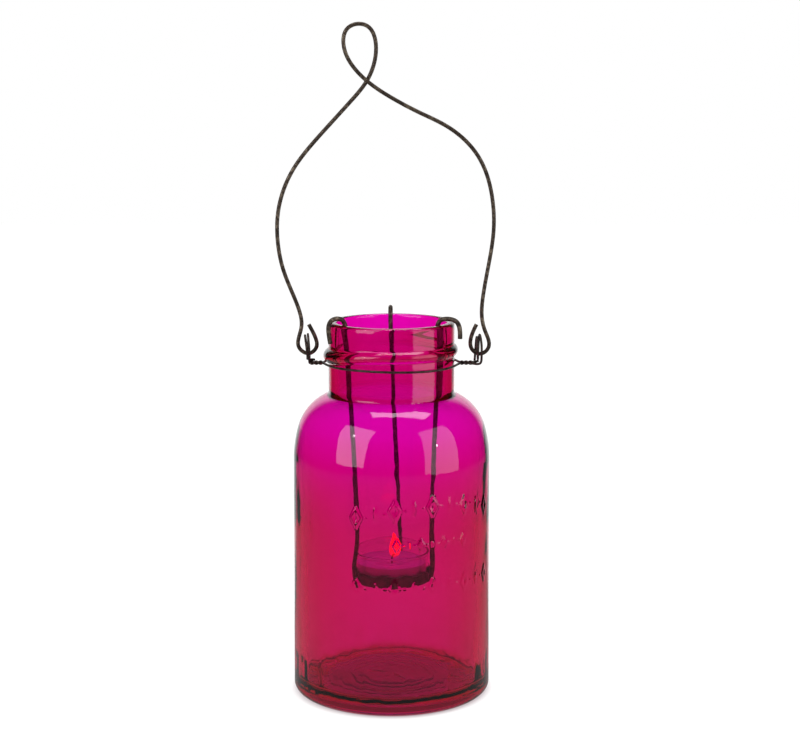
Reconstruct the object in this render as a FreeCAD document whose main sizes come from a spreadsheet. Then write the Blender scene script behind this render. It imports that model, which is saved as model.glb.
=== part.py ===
import FreeCAD, Part
import Sketcher
import math
import os

# Mason jar lantern: a coloured glass jar with a hung wire tealight holder, a wire
# collar below the thread bead and a swinging bail bent from one wire.
#
# +Z is up. The origin is the centre of the base ring, where the jar stands, and the
# bail's two hooks lie in the XZ plane. All sizes are in millimetres.

Vector = FreeCAD.Vector

os.makedirs("parts", exist_ok=True)
doc = FreeCAD.newDocument("mason_jar_lantern")

# ---------------------------------------------------------------- driving dimensions

DIMENSIONS = {
    # glass jar
    "jar_height": 189.6,
    "base_radius": 50.0,
    "body_radius": 49.4,
    "heel_fillet": 4.0,
    "shoulder_start": 119.8,
    "shoulder_arc": 60.0,
    "shoulder_crown": 24.7,
    "neck_root": 154.6,
    "neck_fillet": 2.5,
    "neck_radius": 31.6,
    "wall": 3.1,
    "lip_round": 1.5,
    "floor_height": 9.0,
    "floor_corner": 10.0,
    "push_up_radius": 43.0,
    "push_up_rise": 2.0,
    "bead_height": 175.4,
    "bead_section": 2.9,
    # wires, by diameter
    "bail_wire": 2.0,
    "collar_wire": 1.0,
    "hanger_wire": 2.3,
    # collar round the neck, with an eye at each side
    "collar_height": 168.5,
    "collar_gap": 0.1,
    "strand_gap": 0.1,
    "twist_start": 35.6,
    "left_eye": 41.8,
    "right_eye": 44.3,
    "eye_half_width": 3.3,
    "eye_top": 184.0,
    "eye_turn": 6.0,
    "bail_pivot": 173.0,
    "bail_play": 0.9,
    # tealight holder
    "hanger_rim_radius": 27.0,
    "hanger_tip_radius": 34.9,
    "hanger_top": 191.7,
    "hanger_tip": 181.5,
    "dish_radius": 21.0,
    "dish_base": 57.0,
    "dish_height": 7.0,
    "dish_sheet": 0.8,
    "dish_corner": 1.5,
    "hanger_foot": 0.5,
    "weld_bite": 0.1,
    # tealight
    "cup_radius": 19.0,
    "cup_base": 58.2,
    "cup_height": 14.0,
    "cup_wall": 0.8,
    "cup_corner": 1.2,
    "cup_inner_corner": 1.4,
    "wax_height": 8.0,
    "wax_dip": 0.8,
    "wick_radius": 0.7,
    "wick_length": 11.0,
    "sustainer_radius": 6.0,
    "sustainer_sheet": 0.4,
    "sustainer_sleeve": 3.0,
    "piece_gap": 0.05,
}

sheet = doc.addObject("Spreadsheet::Sheet", "dims")
for row, (alias, value) in enumerate(DIMENSIONS.items(), start=1):
    sheet.set(f"A{row}", alias)
    sheet.set(f"B{row}", str(value))
    sheet.setAlias(f"B{row}", alias)
doc.recompute()


def size(alias):
    """The sheet's value of one driving dimension."""
    return float(sheet.get(alias))


# ---------------------------------------------------------------- shared builders


def new_body(label):
    """An empty body that holds one sub-part and names it."""
    body = doc.addObject("PartDesign::Body", label)
    body.Label = label
    return body


def new_sketch(body, name):
    """A sketch on the body's own XZ plane, with the lathe axis as its vertical axis."""
    sketch = body.newObject("Sketcher::SketchObject", name)
    plane = next(f for f in body.Origin.OriginFeatures if f.Role == "XZ_Plane")
    sketch.AttachmentSupport = (plane, [""])
    sketch.MapMode = "FlatFace"
    return sketch


def bind(sketch, kind, *where):
    """Add a dimensional constraint and bind it to an expression of the sheet."""
    *where, expression = where
    value = sketch.evalExpression(expression)
    index = sketch.addConstraint(Sketcher.Constraint(kind, *where, float(value)))
    sketch.setExpression(f"Constraints[{index}]", expression)


def constrain(sketch, kind, *where):
    """Add a geometric constraint."""
    sketch.addConstraint(Sketcher.Constraint(kind, *where))


START, END, CENTRE = 1, 2, 3
ORIGIN = (-1, 1)
X_AXIS, Z_AXIS = -1, -2


def straight_outline(sketch, corners):
    """A closed outline of straight edges through corners bound to the sheet.

    Each corner is a pair of expressions: the radius and the height.
    """
    points = [
        Vector(float(sketch.evalExpression(radius)), float(sketch.evalExpression(height)), 0)
        for radius, height in corners
    ]
    edges = []
    for index, point in enumerate(points):
        following = points[(index + 1) % len(points)]
        edges.append(sketch.addGeometry(Part.LineSegment(point, following), False))
    for index, edge in enumerate(edges):
        constrain(sketch, "Coincident", edge, END, edges[(index + 1) % len(edges)], START)
    for edge, (radius, height) in zip(edges, corners):
        if radius == "0":
            constrain(sketch, "PointOnObject", edge, START, Z_AXIS)
        else:
            bind(sketch, "DistanceX", *ORIGIN, edge, START, radius)
        if height == "0":
            constrain(sketch, "PointOnObject", edge, START, X_AXIS)
        else:
            bind(sketch, "DistanceY", *ORIGIN, edge, START, height)


def revolve(body, kind, name, sketch):
    """Turn a sketch a full circle about the lathe axis, adding or cutting."""
    feature = body.newObject(f"PartDesign::{kind}", name)
    feature.Profile = sketch
    feature.ReferenceAxis = (sketch, ["V_Axis"])
    feature.Angle = 360.0
    body.Tip = feature
    return feature


def turned(label, corners):
    """A sub-part turned from one straight-edged outline."""
    body = new_body(label)
    sketch = new_sketch(body, label + "_outline")
    straight_outline(sketch, corners)
    revolve(body, "Revolution", label + "_turned", sketch)
    return body


def bent_path(points, reach=0.45):
    """Straight runs through the points, joined by tangent arcs as wide as they allow."""
    edges = []
    here = points[0]
    for before, corner, after in zip(points, points[1:], points[2:]):
        back = before - corner
        on = after - corner
        turn = math.pi - back.getAngle(on)
        cut = reach * min(back.Length, on.Length)
        back.normalize()
        on.normalize()
        arc_start = corner + back * cut
        arc_end = corner + on * cut
        radius = cut / math.tan(turn / 2)
        bisector = (back + on).normalize()
        centre = corner + bisector * (radius / math.cos(turn / 2))
        edges.append(Part.LineSegment(here, arc_start).toShape())
        edges.append(Part.Arc(arc_start, centre - bisector * radius, arc_end).toShape())
        here = arc_end
    edges.append(Part.LineSegment(here, points[-1]).toShape())
    return Part.Wire(edges)


def bent_wire(label, path, diameter):
    """A round wire swept along a path of runs and arcs."""
    radius = diameter / 2
    first = path.OrderedEdges[0]
    direction = first.tangentAt(first.FirstParameter)
    section = Part.Wire([Part.makeCircle(radius, first.valueAt(first.FirstParameter), direction)])
    solid = path.makePipeShell([section], True, False)
    expected = math.pi * radius**2 * path.Length
    if abs(solid.Volume - expected) > 0.01 * expected:
        raise RuntimeError(f"{label}: swept volume {solid.Volume:.1f}, expected {expected:.1f}")
    feature = doc.addObject("Part::Feature", label)
    feature.Label = label
    feature.Shape = solid
    feature.Placement = FreeCAD.Placement()
    return feature


# ---------------------------------------------------------------- glass jar
# Blown into a two-part mould: thick base with a push-up, straight wall, round
# shoulder, plain neck with one bead for the lid and a fire-polished lip.

jar = new_body("glass_jar")


def jar_outline(name, inset, floor, corner, outer):
    """The jar's outside, or its inside one wall further in, as a closed lathe outline."""
    sketch = new_sketch(jar, name)
    base = size("base_radius") - inset
    body_top = size("body_radius") - inset
    start = size("shoulder_start")
    wide = size("shoulder_arc") - inset
    crown = size("shoulder_crown") - inset
    fillet = size("neck_fillet") + inset
    neck = size("neck_radius") - inset
    lip = size("lip_round")
    rim = size("jar_height")

    # centres of the two shoulder arcs and of the fillet at the neck's root
    wide_centre = Vector(body_top - wide, start, 0)
    root_centre = Vector(neck + fillet, size("neck_root"), 0)
    reach = wide - crown
    span = (root_centre - wide_centre).Length
    lean = math.atan2(root_centre.y - wide_centre.y, root_centre.x - wide_centre.x)
    opening = math.acos((reach**2 + span**2 - (crown + fillet) ** 2) / (2 * reach * span))
    bend = lean - opening
    crown_centre = wide_centre + Vector(math.cos(bend), math.sin(bend), 0) * reach
    rise = math.atan2(root_centre.y - crown_centre.y, root_centre.x - crown_centre.x)

    def arc(centre, radius, from_angle, to_angle):
        circle = Part.Circle(centre, Vector(0, 0, 1), radius)
        return sketch.addGeometry(Part.ArcOfCircle(circle, from_angle, to_angle), False)

    def line(x1, z1, x2, z2):
        return sketch.addGeometry(Part.LineSegment(Vector(x1, z1, 0), Vector(x2, z2, 0)), False)

    bottom = line(0, floor, base - corner, floor)
    heel = arc(Vector(base - corner, floor + corner, 0), corner, -math.pi / 2, 0)
    side = line(base, floor + corner, body_top, start)
    shoulder = arc(wide_centre, wide, 0, bend)
    crown_arc = arc(crown_centre, crown, bend, rise)
    root = arc(root_centre, fillet, math.pi, math.pi + rise)
    if outer:
        throat = line(neck, size("neck_root"), neck, rim - lip)
        edge = arc(Vector(neck - lip, rim - lip, 0), lip, 0, math.pi / 2)
        top = line(neck - lip, rim, 0, rim)
        axis = line(0, rim, 0, floor)
    else:
        above = rim + lip
        throat = line(neck, size("neck_root"), neck, rim - lip)
        edge = arc(Vector(neck + lip, rim - lip, 0), lip, math.pi / 2, math.pi)
        mouth = line(neck + lip, rim, neck + lip, above)
        top = line(neck + lip, above, 0, above)
        axis = line(0, above, 0, floor)

    constrain(sketch, "Tangent", bottom, END, heel, START)
    constrain(sketch, "Tangent", heel, END, side, START)
    constrain(sketch, "Tangent", side, END, shoulder, START)
    constrain(sketch, "Tangent", shoulder, END, crown_arc, START)
    constrain(sketch, "Tangent", crown_arc, END, root, END)
    constrain(sketch, "Tangent", root, START, throat, START)
    constrain(sketch, "Coincident", top, END, axis, START)
    constrain(sketch, "Coincident", axis, END, bottom, START)
    constrain(sketch, "PointOnObject", top, END, Z_AXIS)
    constrain(sketch, "PointOnObject", bottom, START, Z_AXIS)
    constrain(sketch, "Horizontal", bottom)
    constrain(sketch, "Horizontal", top)
    constrain(sketch, "Vertical", throat)
    wall = "dims.wall" if not outer else "0"
    bind(sketch, "DistanceX", *ORIGIN, side, START, f"dims.base_radius - {wall}")
    bind(sketch, "DistanceX", *ORIGIN, side, END, f"dims.body_radius - {wall}")
    bind(sketch, "DistanceY", *ORIGIN, side, END, "dims.shoulder_start")
    bind(sketch, "Radius", shoulder, f"dims.shoulder_arc - {wall}")
    bind(sketch, "Radius", crown_arc, f"dims.shoulder_crown - {wall}")
    bind(sketch, "Radius", root, f"dims.neck_fillet + {wall}")
    bind(sketch, "DistanceX", *ORIGIN, throat, START, f"dims.neck_radius - {wall}")
    bind(sketch, "DistanceY", *ORIGIN, throat, START, "dims.neck_root")
    bind(sketch, "Radius", edge, "dims.lip_round")
    if outer:
        constrain(sketch, "PointOnObject", bottom, END, X_AXIS)
        bind(sketch, "Radius", heel, "dims.heel_fillet")
        constrain(sketch, "Tangent", throat, END, edge, START)
        constrain(sketch, "Tangent", edge, END, top, START)
        bind(sketch, "DistanceY", *ORIGIN, top, END, "dims.jar_height")
    else:
        bind(sketch, "DistanceY", *ORIGIN, bottom, END, "dims.floor_height")
        bind(sketch, "Radius", heel, "dims.floor_corner")
        constrain(sketch, "Tangent", throat, END, edge, END)
        bind(sketch, "DistanceY", *ORIGIN, throat, END, "dims.jar_height - dims.lip_round")
        constrain(sketch, "Vertical", edge, CENTRE, edge, START)
        constrain(sketch, "Coincident", edge, START, mouth, START)
        constrain(sketch, "Vertical", mouth)
        constrain(sketch, "Coincident", mouth, END, top, START)
        bind(sketch, "DistanceY", *ORIGIN, top, END, "dims.jar_height + dims.lip_round")
    return sketch


outside = jar_outline("jar_outside", 0, 0, size("heel_fillet"), True)
revolve(jar, "Revolution", "jar_blank", outside)

bead_section = new_sketch(jar, "bead_section")
bead = bead_section.addGeometry(
    Part.Circle(
        Vector(size("neck_radius"), size("bead_height"), 0), Vector(0, 0, 1), size("bead_section")
    ),
    False,
)
bind(bead_section, "DistanceX", *ORIGIN, bead, CENTRE, "dims.neck_radius")
bind(bead_section, "DistanceY", *ORIGIN, bead, CENTRE, "dims.bead_height")
bind(bead_section, "Radius", bead, "dims.bead_section")
revolve(jar, "Revolution", "thread_bead", bead_section)

inside = jar_outline("jar_inside", size("wall"), size("floor_height"), size("floor_corner"), False)
revolve(jar, "Groove", "jar_hollow", inside)

push_up = new_sketch(jar, "push_up_outline")
straight_outline(
    push_up,
    [
        ("0", "0"),
        ("dims.push_up_radius", "0"),
        ("dims.push_up_radius - 2 * dims.push_up_rise", "dims.push_up_rise"),
        ("0", "dims.push_up_rise"),
    ],
)
revolve(jar, "Groove", "push_up", push_up)

# ---------------------------------------------------------------- wire collar
# Two wires close round the neck below the bead. Their ends run side by side at
# each side, and the front wire goes on into an upright eye that holds the bail.

collar_level = size("collar_height")
strand_offset = (size("collar_wire") + size("strand_gap")) / 2
stem_overlap = 4.4
NECK_BENDS = 6


def neck_half(side):
    """Half of the collar, from left to right: side is -1 in front and +1 at the back."""
    radius = size("neck_radius") + size("collar_wire") / 2 + size("collar_gap")
    step = math.pi / (NECK_BENDS + 2)
    outside = radius / math.cos(step / 2)
    bends = [
        Vector(-outside * math.cos(angle), side * outside * math.sin(angle), collar_level)
        for angle in [step * (index + 1.5) for index in range(NECK_BENDS)]
    ]
    left = Vector(-size("twist_start"), side * strand_offset, collar_level)
    right = Vector(size("twist_start"), side * strand_offset, collar_level)
    return [left, *bends, right]


def eye_route(side, centre):
    """From the stem outwards: up the eye's front flank, over, down and closed below."""
    half = size("eye_half_width")
    turn = math.radians(size("eye_turn"))
    across = Vector(math.sin(turn), math.cos(turn), 0)
    coil = 0.6 * size("collar_wire")
    below = (size("bail_wire") + size("collar_wire")) / 2 + size("bail_play")
    sill = size("bail_pivot") - below
    top = size("eye_top") - size("collar_wire") / 2

    def at(offset, height, shift):
        return across * offset + Vector(side * (centre + shift * coil), 0, height)

    return [
        Vector(side * (centre - coil), -strand_offset, collar_level),
        at(-0.4, sill - 0.6, -1),
        at(-half, sill + 2.6, -1),
        at(-half, top - 3, -1),
        at(-0.5 * half, top, -0.6),
        at(0.5 * half, top, 0.2),
        at(half, top - 3, 1),
        at(half, sill + 2.6, 1),
        at(0.4 * half, sill, 1),
        at(-0.7 * half, sill, 1),
    ]


left_eye = eye_route(-1, size("left_eye"))
right_eye = eye_route(1, size("right_eye"))
front_route = left_eye[::-1] + neck_half(-1) + right_eye
bent_wire("collar_wire_front", bent_path(front_route), size("collar_wire"))

back_half = neck_half(1)
stem = Vector(stem_overlap, 0, 0)
back_route = [back_half[0] - stem, *back_half, back_half[-1] + stem]
bent_wire("collar_wire_back", bent_path(back_route), size("collar_wire"))

# ---------------------------------------------------------------- bail
# One hand-bent wire: a hook through each collar eye, two bowed arms, and a loop at
# the top where the arms cross, one in front of the other. Bends are (x, z).

LEFT_HOOK = [(-41.5, 188.0), (-37.0, 180.5), (-37.5, 175.5), (-42.0, 172.0), (-47.0, 177.0)]
LEFT_ARM = [
    (-45.5, 184.0),
    (-44.5, 188.0),
    (-46.5, 196.5),
    (-54.0, 214.5),
    (-56.5, 225.5),
    (-57.0, 243.0),
    (-52.0, 258.5),
    (-45.0, 270.5),
    (-32.5, 284.5),
    (-19.5, 298.5),
]
TOP_LOOP = [
    (-11.0, 309.0),
    (-7.0, 322.0),
    (-8.5, 332.0),
    (-14.0, 336.5),
    (-23.5, 333.5),
    (-23.0, 320.5),
    (-13.5, 308.5),
]
RIGHT_ARM = [
    (0.5, 300.0),
    (29.0, 285.5),
    (42.0, 274.0),
    (49.0, 259.0),
    (51.5, 240.0),
    (48.0, 217.0),
    (45.0, 191.5),
    (48.0, 183.0),
]
RIGHT_HOOK = [(49.0, 177.5), (44.8, 172.0), (40.0, 175.5), (40.5, 181.5), (43.5, 188.0)]

# the wire goes up into the loop behind and comes down out of it in front
crossing_offset = 0.65 * size("bail_wire")


def loop_depth(index):
    """How far behind the bail's plane a bend of the top loop lies."""
    return crossing_offset * (1 - 2 * index / (len(TOP_LOOP) - 1))


bail_route = [Vector(x, 0, z) for x, z in LEFT_HOOK + LEFT_ARM]
bail_route += [Vector(x, loop_depth(i), z) for i, (x, z) in enumerate(TOP_LOOP)]
bail_route += [Vector(x, 0, z) for x, z in RIGHT_ARM + RIGHT_HOOK]
bent_wire("bail_handle", bent_path(bail_route), size("bail_wire"))

# ---------------------------------------------------------------- tealight holder
# Three wires hook over the lip and lean in towards a shallow dish, welded to its side.

HANGERS = {"hanger_wire_back": 90.0, "hanger_wire_left": 210.0, "hanger_wire_right": 330.0}


def hanger_path(bearing):
    """One hanger's route in its own upright plane through the jar's axis."""
    foot_radius = size("dish_radius") + size("hanger_wire") / 2 - size("weld_bite")
    foot = size("dish_base") + size("hanger_foot")
    dish_lip = size("dish_base") + size("dish_height")
    inner = size("hanger_rim_radius")
    outer = size("hanger_tip_radius")
    top = size("hanger_top")
    bend = (outer - inner) / 2
    route = [
        (foot_radius, foot),
        (foot_radius, dish_lip + 1.5),
        (inner, top - 3 * bend),
        (inner, top),
        (outer, top),
        (outer, size("hanger_tip")),
    ]
    turn = math.radians(bearing)
    return [Vector(r * math.cos(turn), r * math.sin(turn), z) for r, z in route]


for label, bearing in HANGERS.items():
    bent_wire(label, bent_path(hanger_path(bearing)), size("hanger_wire"))

turned(
    "holder_dish",
    [
        ("0", "dims.dish_base"),
        ("dims.dish_radius - dims.dish_corner", "dims.dish_base"),
        ("dims.dish_radius", "dims.dish_base + dims.dish_corner"),
        ("dims.dish_radius", "dims.dish_base + dims.dish_height"),
        ("dims.dish_radius - dims.dish_sheet", "dims.dish_base + dims.dish_height"),
        (
            "dims.dish_radius - dims.dish_sheet",
            "dims.dish_base + dims.dish_corner + dims.dish_sheet / 2",
        ),
        (
            "dims.dish_radius - dims.dish_corner - dims.dish_sheet / 2",
            "dims.dish_base + dims.dish_sheet",
        ),
        ("0", "dims.dish_base + dims.dish_sheet"),
    ],
)

# ---------------------------------------------------------------- tealight
# A clear cup of wax round a wick, which a small tin sustainer holds upright.

turned(
    "tealight_cup",
    [
        ("0", "dims.cup_base"),
        ("dims.cup_radius - dims.cup_corner", "dims.cup_base"),
        ("dims.cup_radius", "dims.cup_base + dims.cup_corner"),
        ("dims.cup_radius", "dims.cup_base + dims.cup_height"),
        ("dims.cup_radius - dims.cup_wall", "dims.cup_base + dims.cup_height"),
        (
            "dims.cup_radius - dims.cup_wall",
            "dims.cup_base + dims.cup_corner + dims.cup_wall / 2",
        ),
        (
            "dims.cup_radius - dims.cup_corner - dims.cup_wall / 2",
            "dims.cup_base + dims.cup_wall",
        ),
        ("0", "dims.cup_base + dims.cup_wall"),
    ],
)

# heights and radii that the sustainer, the wax and the wick share
CUP_FLOOR = "dims.cup_base + dims.cup_wall"
SEAT = f"{CUP_FLOOR} + dims.piece_gap"
PLATE_TOP = f"{SEAT} + dims.sustainer_sheet"
SLEEVE_TOP = f"{CUP_FLOOR} + dims.sustainer_sleeve"
SLEEVE_INSIDE = "dims.wick_radius + dims.piece_gap"
SLEEVE_OUTSIDE = f"{SLEEVE_INSIDE} + dims.sustainer_sheet"
CUP_INSIDE = "dims.cup_radius - dims.cup_wall"

turned(
    "wick_sustainer",
    [
        ("0", SEAT),
        ("dims.sustainer_radius", SEAT),
        ("dims.sustainer_radius", PLATE_TOP),
        (SLEEVE_OUTSIDE, PLATE_TOP),
        (SLEEVE_OUTSIDE, SLEEVE_TOP),
        (SLEEVE_INSIDE, SLEEVE_TOP),
        (SLEEVE_INSIDE, PLATE_TOP),
        ("0", PLATE_TOP),
    ],
)

turned(
    "tealight_wax",
    [
        ("dims.sustainer_radius + 2 * dims.piece_gap", SEAT),
        (f"{CUP_INSIDE} - dims.cup_inner_corner", SEAT),
        (f"{CUP_INSIDE} - 2 * dims.piece_gap", f"{CUP_FLOOR} + dims.cup_inner_corner"),
        (f"{CUP_INSIDE} - 2 * dims.piece_gap", f"{CUP_FLOOR} + dims.wax_height"),
        (
            f"{SLEEVE_INSIDE} + dims.piece_gap",
            f"{CUP_FLOOR} + dims.wax_height - dims.wax_dip",
        ),
        (f"{SLEEVE_INSIDE} + dims.piece_gap", f"{SLEEVE_TOP} + 2 * dims.piece_gap"),
        (f"{SLEEVE_OUTSIDE} + 2 * dims.piece_gap", f"{SLEEVE_TOP} + 2 * dims.piece_gap"),
        (f"{SLEEVE_OUTSIDE} + 2 * dims.piece_gap", f"{PLATE_TOP} + 2 * dims.piece_gap"),
        ("dims.sustainer_radius + 2 * dims.piece_gap", f"{PLATE_TOP} + 2 * dims.piece_gap"),
    ],
)

wick = doc.addObject("Part::Cylinder", "wick")
wick.Label = "wick"
wick.setExpression("Radius", "dims.wick_radius")
wick.setExpression("Height", "dims.wick_length")
wick.setExpression("Placement.Base.z", f"{PLATE_TOP} + dims.piece_gap")

# ---------------------------------------------------------------- check and write

doc.recompute()

SUBPARTS = [
    "glass_jar",
    "collar_wire_front",
    "collar_wire_back",
    "bail_handle",
    *HANGERS,
    "holder_dish",
    "tealight_cup",
    "tealight_wax",
    "wick_sustainer",
    "wick",
]

for item in doc.Objects:
    if "Invalid" in item.State or "Error" in item.State:
        raise RuntimeError(f"{item.Label} failed: {item.State}")

for label in SUBPARTS:
    shape = doc.getObjectsByLabel(label)[0].Shape
    if shape.isNull() or not shape.isValid() or len(shape.Solids) != 1:
        raise RuntimeError(f"{label} is not one valid solid")
    shape.exportStep(f"parts/{label}.step")
    box = shape.BoundBox
    print(f"{label:20s} {shape.Volume:10.1f} mm3  x {box.XMin:7.2f} {box.XMax:7.2f}"
          f"  y {box.YMin:7.2f} {box.YMax:7.2f}  z {box.ZMin:7.2f} {box.ZMax:7.2f}")
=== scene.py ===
import math

import bpy
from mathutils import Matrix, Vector, noise


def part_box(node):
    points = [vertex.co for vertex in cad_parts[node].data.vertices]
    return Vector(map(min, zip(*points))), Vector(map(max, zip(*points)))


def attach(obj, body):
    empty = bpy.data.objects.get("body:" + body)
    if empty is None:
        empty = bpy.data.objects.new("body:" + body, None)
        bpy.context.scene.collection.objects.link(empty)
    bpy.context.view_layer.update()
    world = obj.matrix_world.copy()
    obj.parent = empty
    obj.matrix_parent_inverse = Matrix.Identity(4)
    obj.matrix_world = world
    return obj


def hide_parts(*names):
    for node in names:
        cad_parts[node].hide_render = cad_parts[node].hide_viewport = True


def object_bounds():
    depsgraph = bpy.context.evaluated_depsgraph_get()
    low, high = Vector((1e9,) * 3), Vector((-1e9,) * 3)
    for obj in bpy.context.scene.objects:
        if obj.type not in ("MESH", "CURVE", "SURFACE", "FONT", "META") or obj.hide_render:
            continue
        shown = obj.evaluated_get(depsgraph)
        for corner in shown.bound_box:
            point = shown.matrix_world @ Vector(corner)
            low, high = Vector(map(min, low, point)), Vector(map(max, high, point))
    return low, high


# Mason jar lantern: a magenta glass jar on a wire collar and bail, with a lit
# tealight in a dish that hangs inside on three wires.
#
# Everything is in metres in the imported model's own frame: +Z up, the origin at the
# centre of the ring that the jar stands on, the front towards -Y.

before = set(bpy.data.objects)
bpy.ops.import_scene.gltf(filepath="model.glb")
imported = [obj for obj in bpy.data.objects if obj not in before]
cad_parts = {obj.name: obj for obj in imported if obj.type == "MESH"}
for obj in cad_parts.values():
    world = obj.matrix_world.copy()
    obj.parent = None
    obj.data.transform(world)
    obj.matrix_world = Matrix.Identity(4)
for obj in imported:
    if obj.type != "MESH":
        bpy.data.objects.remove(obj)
cad_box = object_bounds()
MM = 0.001

# ---------------------------------------------------------------- studio
# A product table: pale seamless paper that sweeps up behind to a bright white wall, a
# dim room in front, and three soft boxes that leave their pale shapes on the glass.

CAMERA_PLACE = (4.3 * MM, -890.4 * MM, 308.1 * MM)
CAMERA_TILT = 80.87
CAMERA_LENS = 80.76
WALL_WHITE = 1.0
WALL_LIGHT = 1.10
DIM_ROOM = 0.02
# how straight back a mirrored ray points where the wall starts to show, and shows in full
WALL_SEEN = (0.76, 0.93)


def linear(hex_colour, alpha=1.0):
    """An sRGB hex colour as Blender's linear colour."""
    channels = [int(hex_colour[i : i + 2], 16) / 255 for i in (1, 3, 5)]
    return (
        *[c / 12.92 if c <= 0.04045 else ((c + 0.055) / 1.055) ** 2.4 for c in channels],
        alpha,
    )


def add_node(tree, kind, settings=None, links=None):
    """Add a shader node, set its properties and sockets, and link its inputs."""
    node = tree.nodes.new(kind)
    for key, value in (settings or {}).items():
        if isinstance(key, str) and key not in node.inputs:
            setattr(node, key, value)
        else:
            node.inputs[key].default_value = value
    for key, source in (links or {}).items():
        tree.links.new(source, node.inputs[key])
    return node


scene = bpy.context.scene
scene.view_settings.view_transform = "Standard"
scene.cycles.max_bounces = 24
scene.cycles.transmission_bounces = 24
scene.cycles.glossy_bounces = 8
scene.cycles.diffuse_bounces = 4
scene.cycles.transparent_max_bounces = 16
scene.cycles.blur_glossy = 0.3
scene.cycles.sample_clamp_indirect = 8.0

bpy.ops.object.camera_add(location=CAMERA_PLACE, rotation=(math.radians(CAMERA_TILT), 0, 0))
camera = bpy.context.object
camera.name = "camera"
camera.data.sensor_width = 36
camera.data.lens = CAMERA_LENS
camera.data.clip_start = 0.01
scene.camera = camera

# the wall is white to every ray but a mirrored one, which sees it white only behind
world = bpy.data.worlds.new("white sweep")
scene.world = world
world.use_nodes = True
sky = world.node_tree
sky.nodes.clear()
ray = add_node(sky, "ShaderNodeLightPath")
way = add_node(sky, "ShaderNodeTexCoord")
way_parts = add_node(sky, "ShaderNodeSeparateXYZ", {}, {"Vector": way.outputs["Generated"]})
behind = add_node(
    sky,
    "ShaderNodeMapRange",
    {
        "interpolation_type": "SMOOTHSTEP",
        "From Min": WALL_SEEN[0],
        "From Max": WALL_SEEN[1],
        "To Min": DIM_ROOM,
        "To Max": 1.0,
    },
    {"Value": way_parts.outputs["Y"]},
)
matt = add_node(
    sky,
    "ShaderNodeMix",
    {"data_type": "FLOAT", "A": WALL_WHITE, "B": WALL_LIGHT},
    {"Factor": ray.outputs["Is Diffuse Ray"]},
)
mirrored = add_node(
    sky,
    "ShaderNodeMath",
    {"operation": "SUBTRACT", "use_clamp": True},
    {0: ray.outputs["Is Glossy Ray"], 1: ray.outputs["Is Transmission Ray"]},
)
shine = add_node(
    sky,
    "ShaderNodeMix",
    {"data_type": "FLOAT"},
    {
        "Factor": mirrored.outputs["Value"],
        "A": matt.outputs["Result"],
        "B": behind.outputs["Result"],
    },
)
sweep = add_node(
    sky, "ShaderNodeBackground", {"Color": (1, 1, 1, 1)}, {"Strength": shine.outputs["Result"]}
)
add_node(sky, "ShaderNodeOutputWorld", {}, {"Surface": sweep.outputs["Background"]})

SOFT_BOXES = {
    # name: centre, the point it faces, width and height in metres, power in watts
    "soft_box_left": ((-0.80, -0.72, 0.55), (-0.10, -0.10, 0.0), 0.78, 1.15, 7.5),
    "soft_box_right": ((0.52, -0.30, 0.35), (0, 0, 0.35), 0.50, 0.66, 1.7),
    "soft_box_above": ((0.13, 0.07, 1.15), (0.13, 0.07, 0), 0.80, 0.36, 4.5),
    "lamp_left": ((-0.50, -0.44, 0.52), (0, 0, 0.14), 0.035, 0.035, 0.10),
    "lamp_right": ((0.47, -0.33, 0.27), (0, 0, 0.14), 0.022, 0.022, 0.035),
}
for name, (place, aim, width, height, power) in SOFT_BOXES.items():
    bpy.ops.object.light_add(type="AREA", location=place)
    lamp = bpy.context.object
    lamp.name = name
    lamp.data.shape = "RECTANGLE"
    lamp.data.size, lamp.data.size_y = width, height
    lamp.data.energy = power
    lamp.visible_camera = lamp.visible_transmission = False
    facing = Vector(aim) - Vector(place)
    lamp.rotation_euler = facing.to_track_quat("-Z", "Y").to_euler()

# distances from the jar's axis in metres over which the floor changes, and its shine, then the
# colour of the shadow painted into the floor under the jar
FOOT_EDGE = (0.042, 0.052)
NEAR_JAR = (0.10, 0.85)
NEAR_SHINE = 0.32
FOOT_PAINTED_SHADOW = (0.21, 0.006, 0.075, 1)

# the table is a sheet of opal acrylic with a little light from below, so that nothing
# casts a hard shadow; its mirror image fades into the dim room away from the jar
bpy.ops.mesh.primitive_plane_add(size=6, location=(0, 0, cad_box[0][2] - 0.02 * MM))
floor = bpy.context.object
floor.name = "opal_floor"
paper = bpy.data.materials.new("opal acrylic, matt white, lit from below")
paper.use_nodes = True
tree = paper.node_tree
tree.nodes["Principled BSDF"].inputs["Base Color"].default_value = (0.30, 0.30, 0.30, 1)
tree.nodes["Principled BSDF"].inputs["Emission Strength"].default_value = 0.70
tree.nodes["Principled BSDF"].inputs["Roughness"].default_value = 0.9
tree.nodes["Principled BSDF"].inputs["Specular IOR Level"].default_value = 0.1
ray = add_node(tree, "ShaderNodeLightPath")
spot = add_node(tree, "ShaderNodeNewGeometry")
spot_away = add_node(
    tree, "ShaderNodeVectorMath", {"operation": "LENGTH"}, {0: spot.outputs["Position"]}
)
spot_way = add_node(
    tree, "ShaderNodeVectorMath", {"operation": "NORMALIZE"}, {0: spot.outputs["Position"]}
)
spot_parts = add_node(tree, "ShaderNodeSeparateXYZ", {}, {"Vector": spot_way.outputs["Vector"]})
painted_shadow_mask = add_node(
    tree,
    "ShaderNodeMapRange",
    {"From Min": FOOT_EDGE[0], "From Max": FOOT_EDGE[1]},
    {"Value": spot_away.outputs["Value"]},
)
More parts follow.
